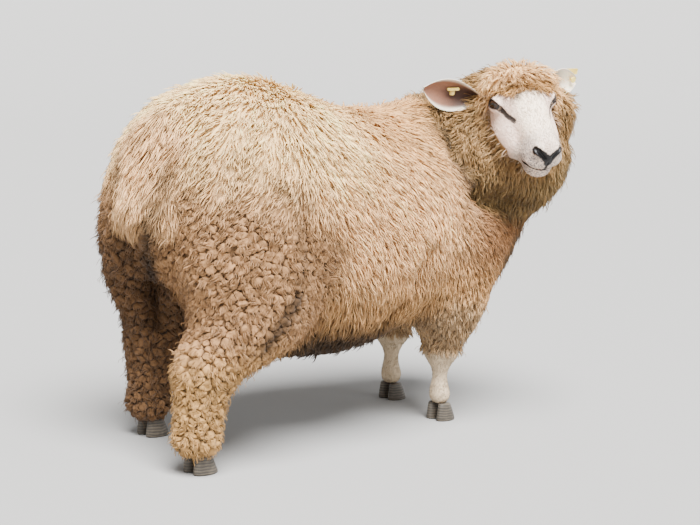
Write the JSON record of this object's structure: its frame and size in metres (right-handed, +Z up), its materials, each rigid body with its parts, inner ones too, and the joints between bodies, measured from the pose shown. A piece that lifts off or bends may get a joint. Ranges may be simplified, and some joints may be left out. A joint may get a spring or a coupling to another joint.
{
  "type": "standing sheep",
  "caption": "Life-size standing sheep in medium-long wool, its head turned back over its right side, with a plastic ear tag in each ear.",
  "frame": {"origin": "centre of the sheep's plan box at floor level", "axes": "+Z up; the trunk lies along Y and faces -Y, so the tail is towards +Y and the sheep's right side towards -X"},
  "size_m": [0.561, 1.1316, 0.7901],
  "materials": {
    "wool": "curly medium-long fleece",
    "dirty_wool": "short curly fleece, soiled",
    "face_hair": "short smooth hair",
    "ear_skin": "thin skin with short hair",
    "eye": "wet gloss",
    "hoof_horn": "matt horn",
    "tag_plastic": "satin"
  },
  "bodies": {
    "root": {"hind_right_upper": "wool", "hind_right_lower": "dirty_wool", "hind_right_hoof_outer": "hoof_horn", "hind_right_hoof_inner": "hoof_horn", "hind_left_upper": "wool", "hind_left_lower": "dirty_wool", "hind_left_hoof_outer": "hoof_horn", "hind_left_hoof_inner": "hoof_horn", "fore_right_upper": "wool", "fore_right_lower": "face_hair", "fore_right_hoof_outer": "hoof_horn", "fore_right_hoof_inner": "hoof_horn", "fore_left_upper": "wool", "fore_left_lower": "face_hair", "fore_left_hoof_outer": "hoof_horn", "fore_left_hoof_inner": "hoof_horn", "trunk": "wool", "tail": "wool", "neck": "wool", "head": "wool", "muzzle": "face_hair", "eye_right": "eye", "eye_left": "eye", "ear_right": "ear_skin", "ear_left": "ear_skin", "tag_right": "tag_plastic", "tag_left": "tag_plastic"}
  },
  "joints": []
}
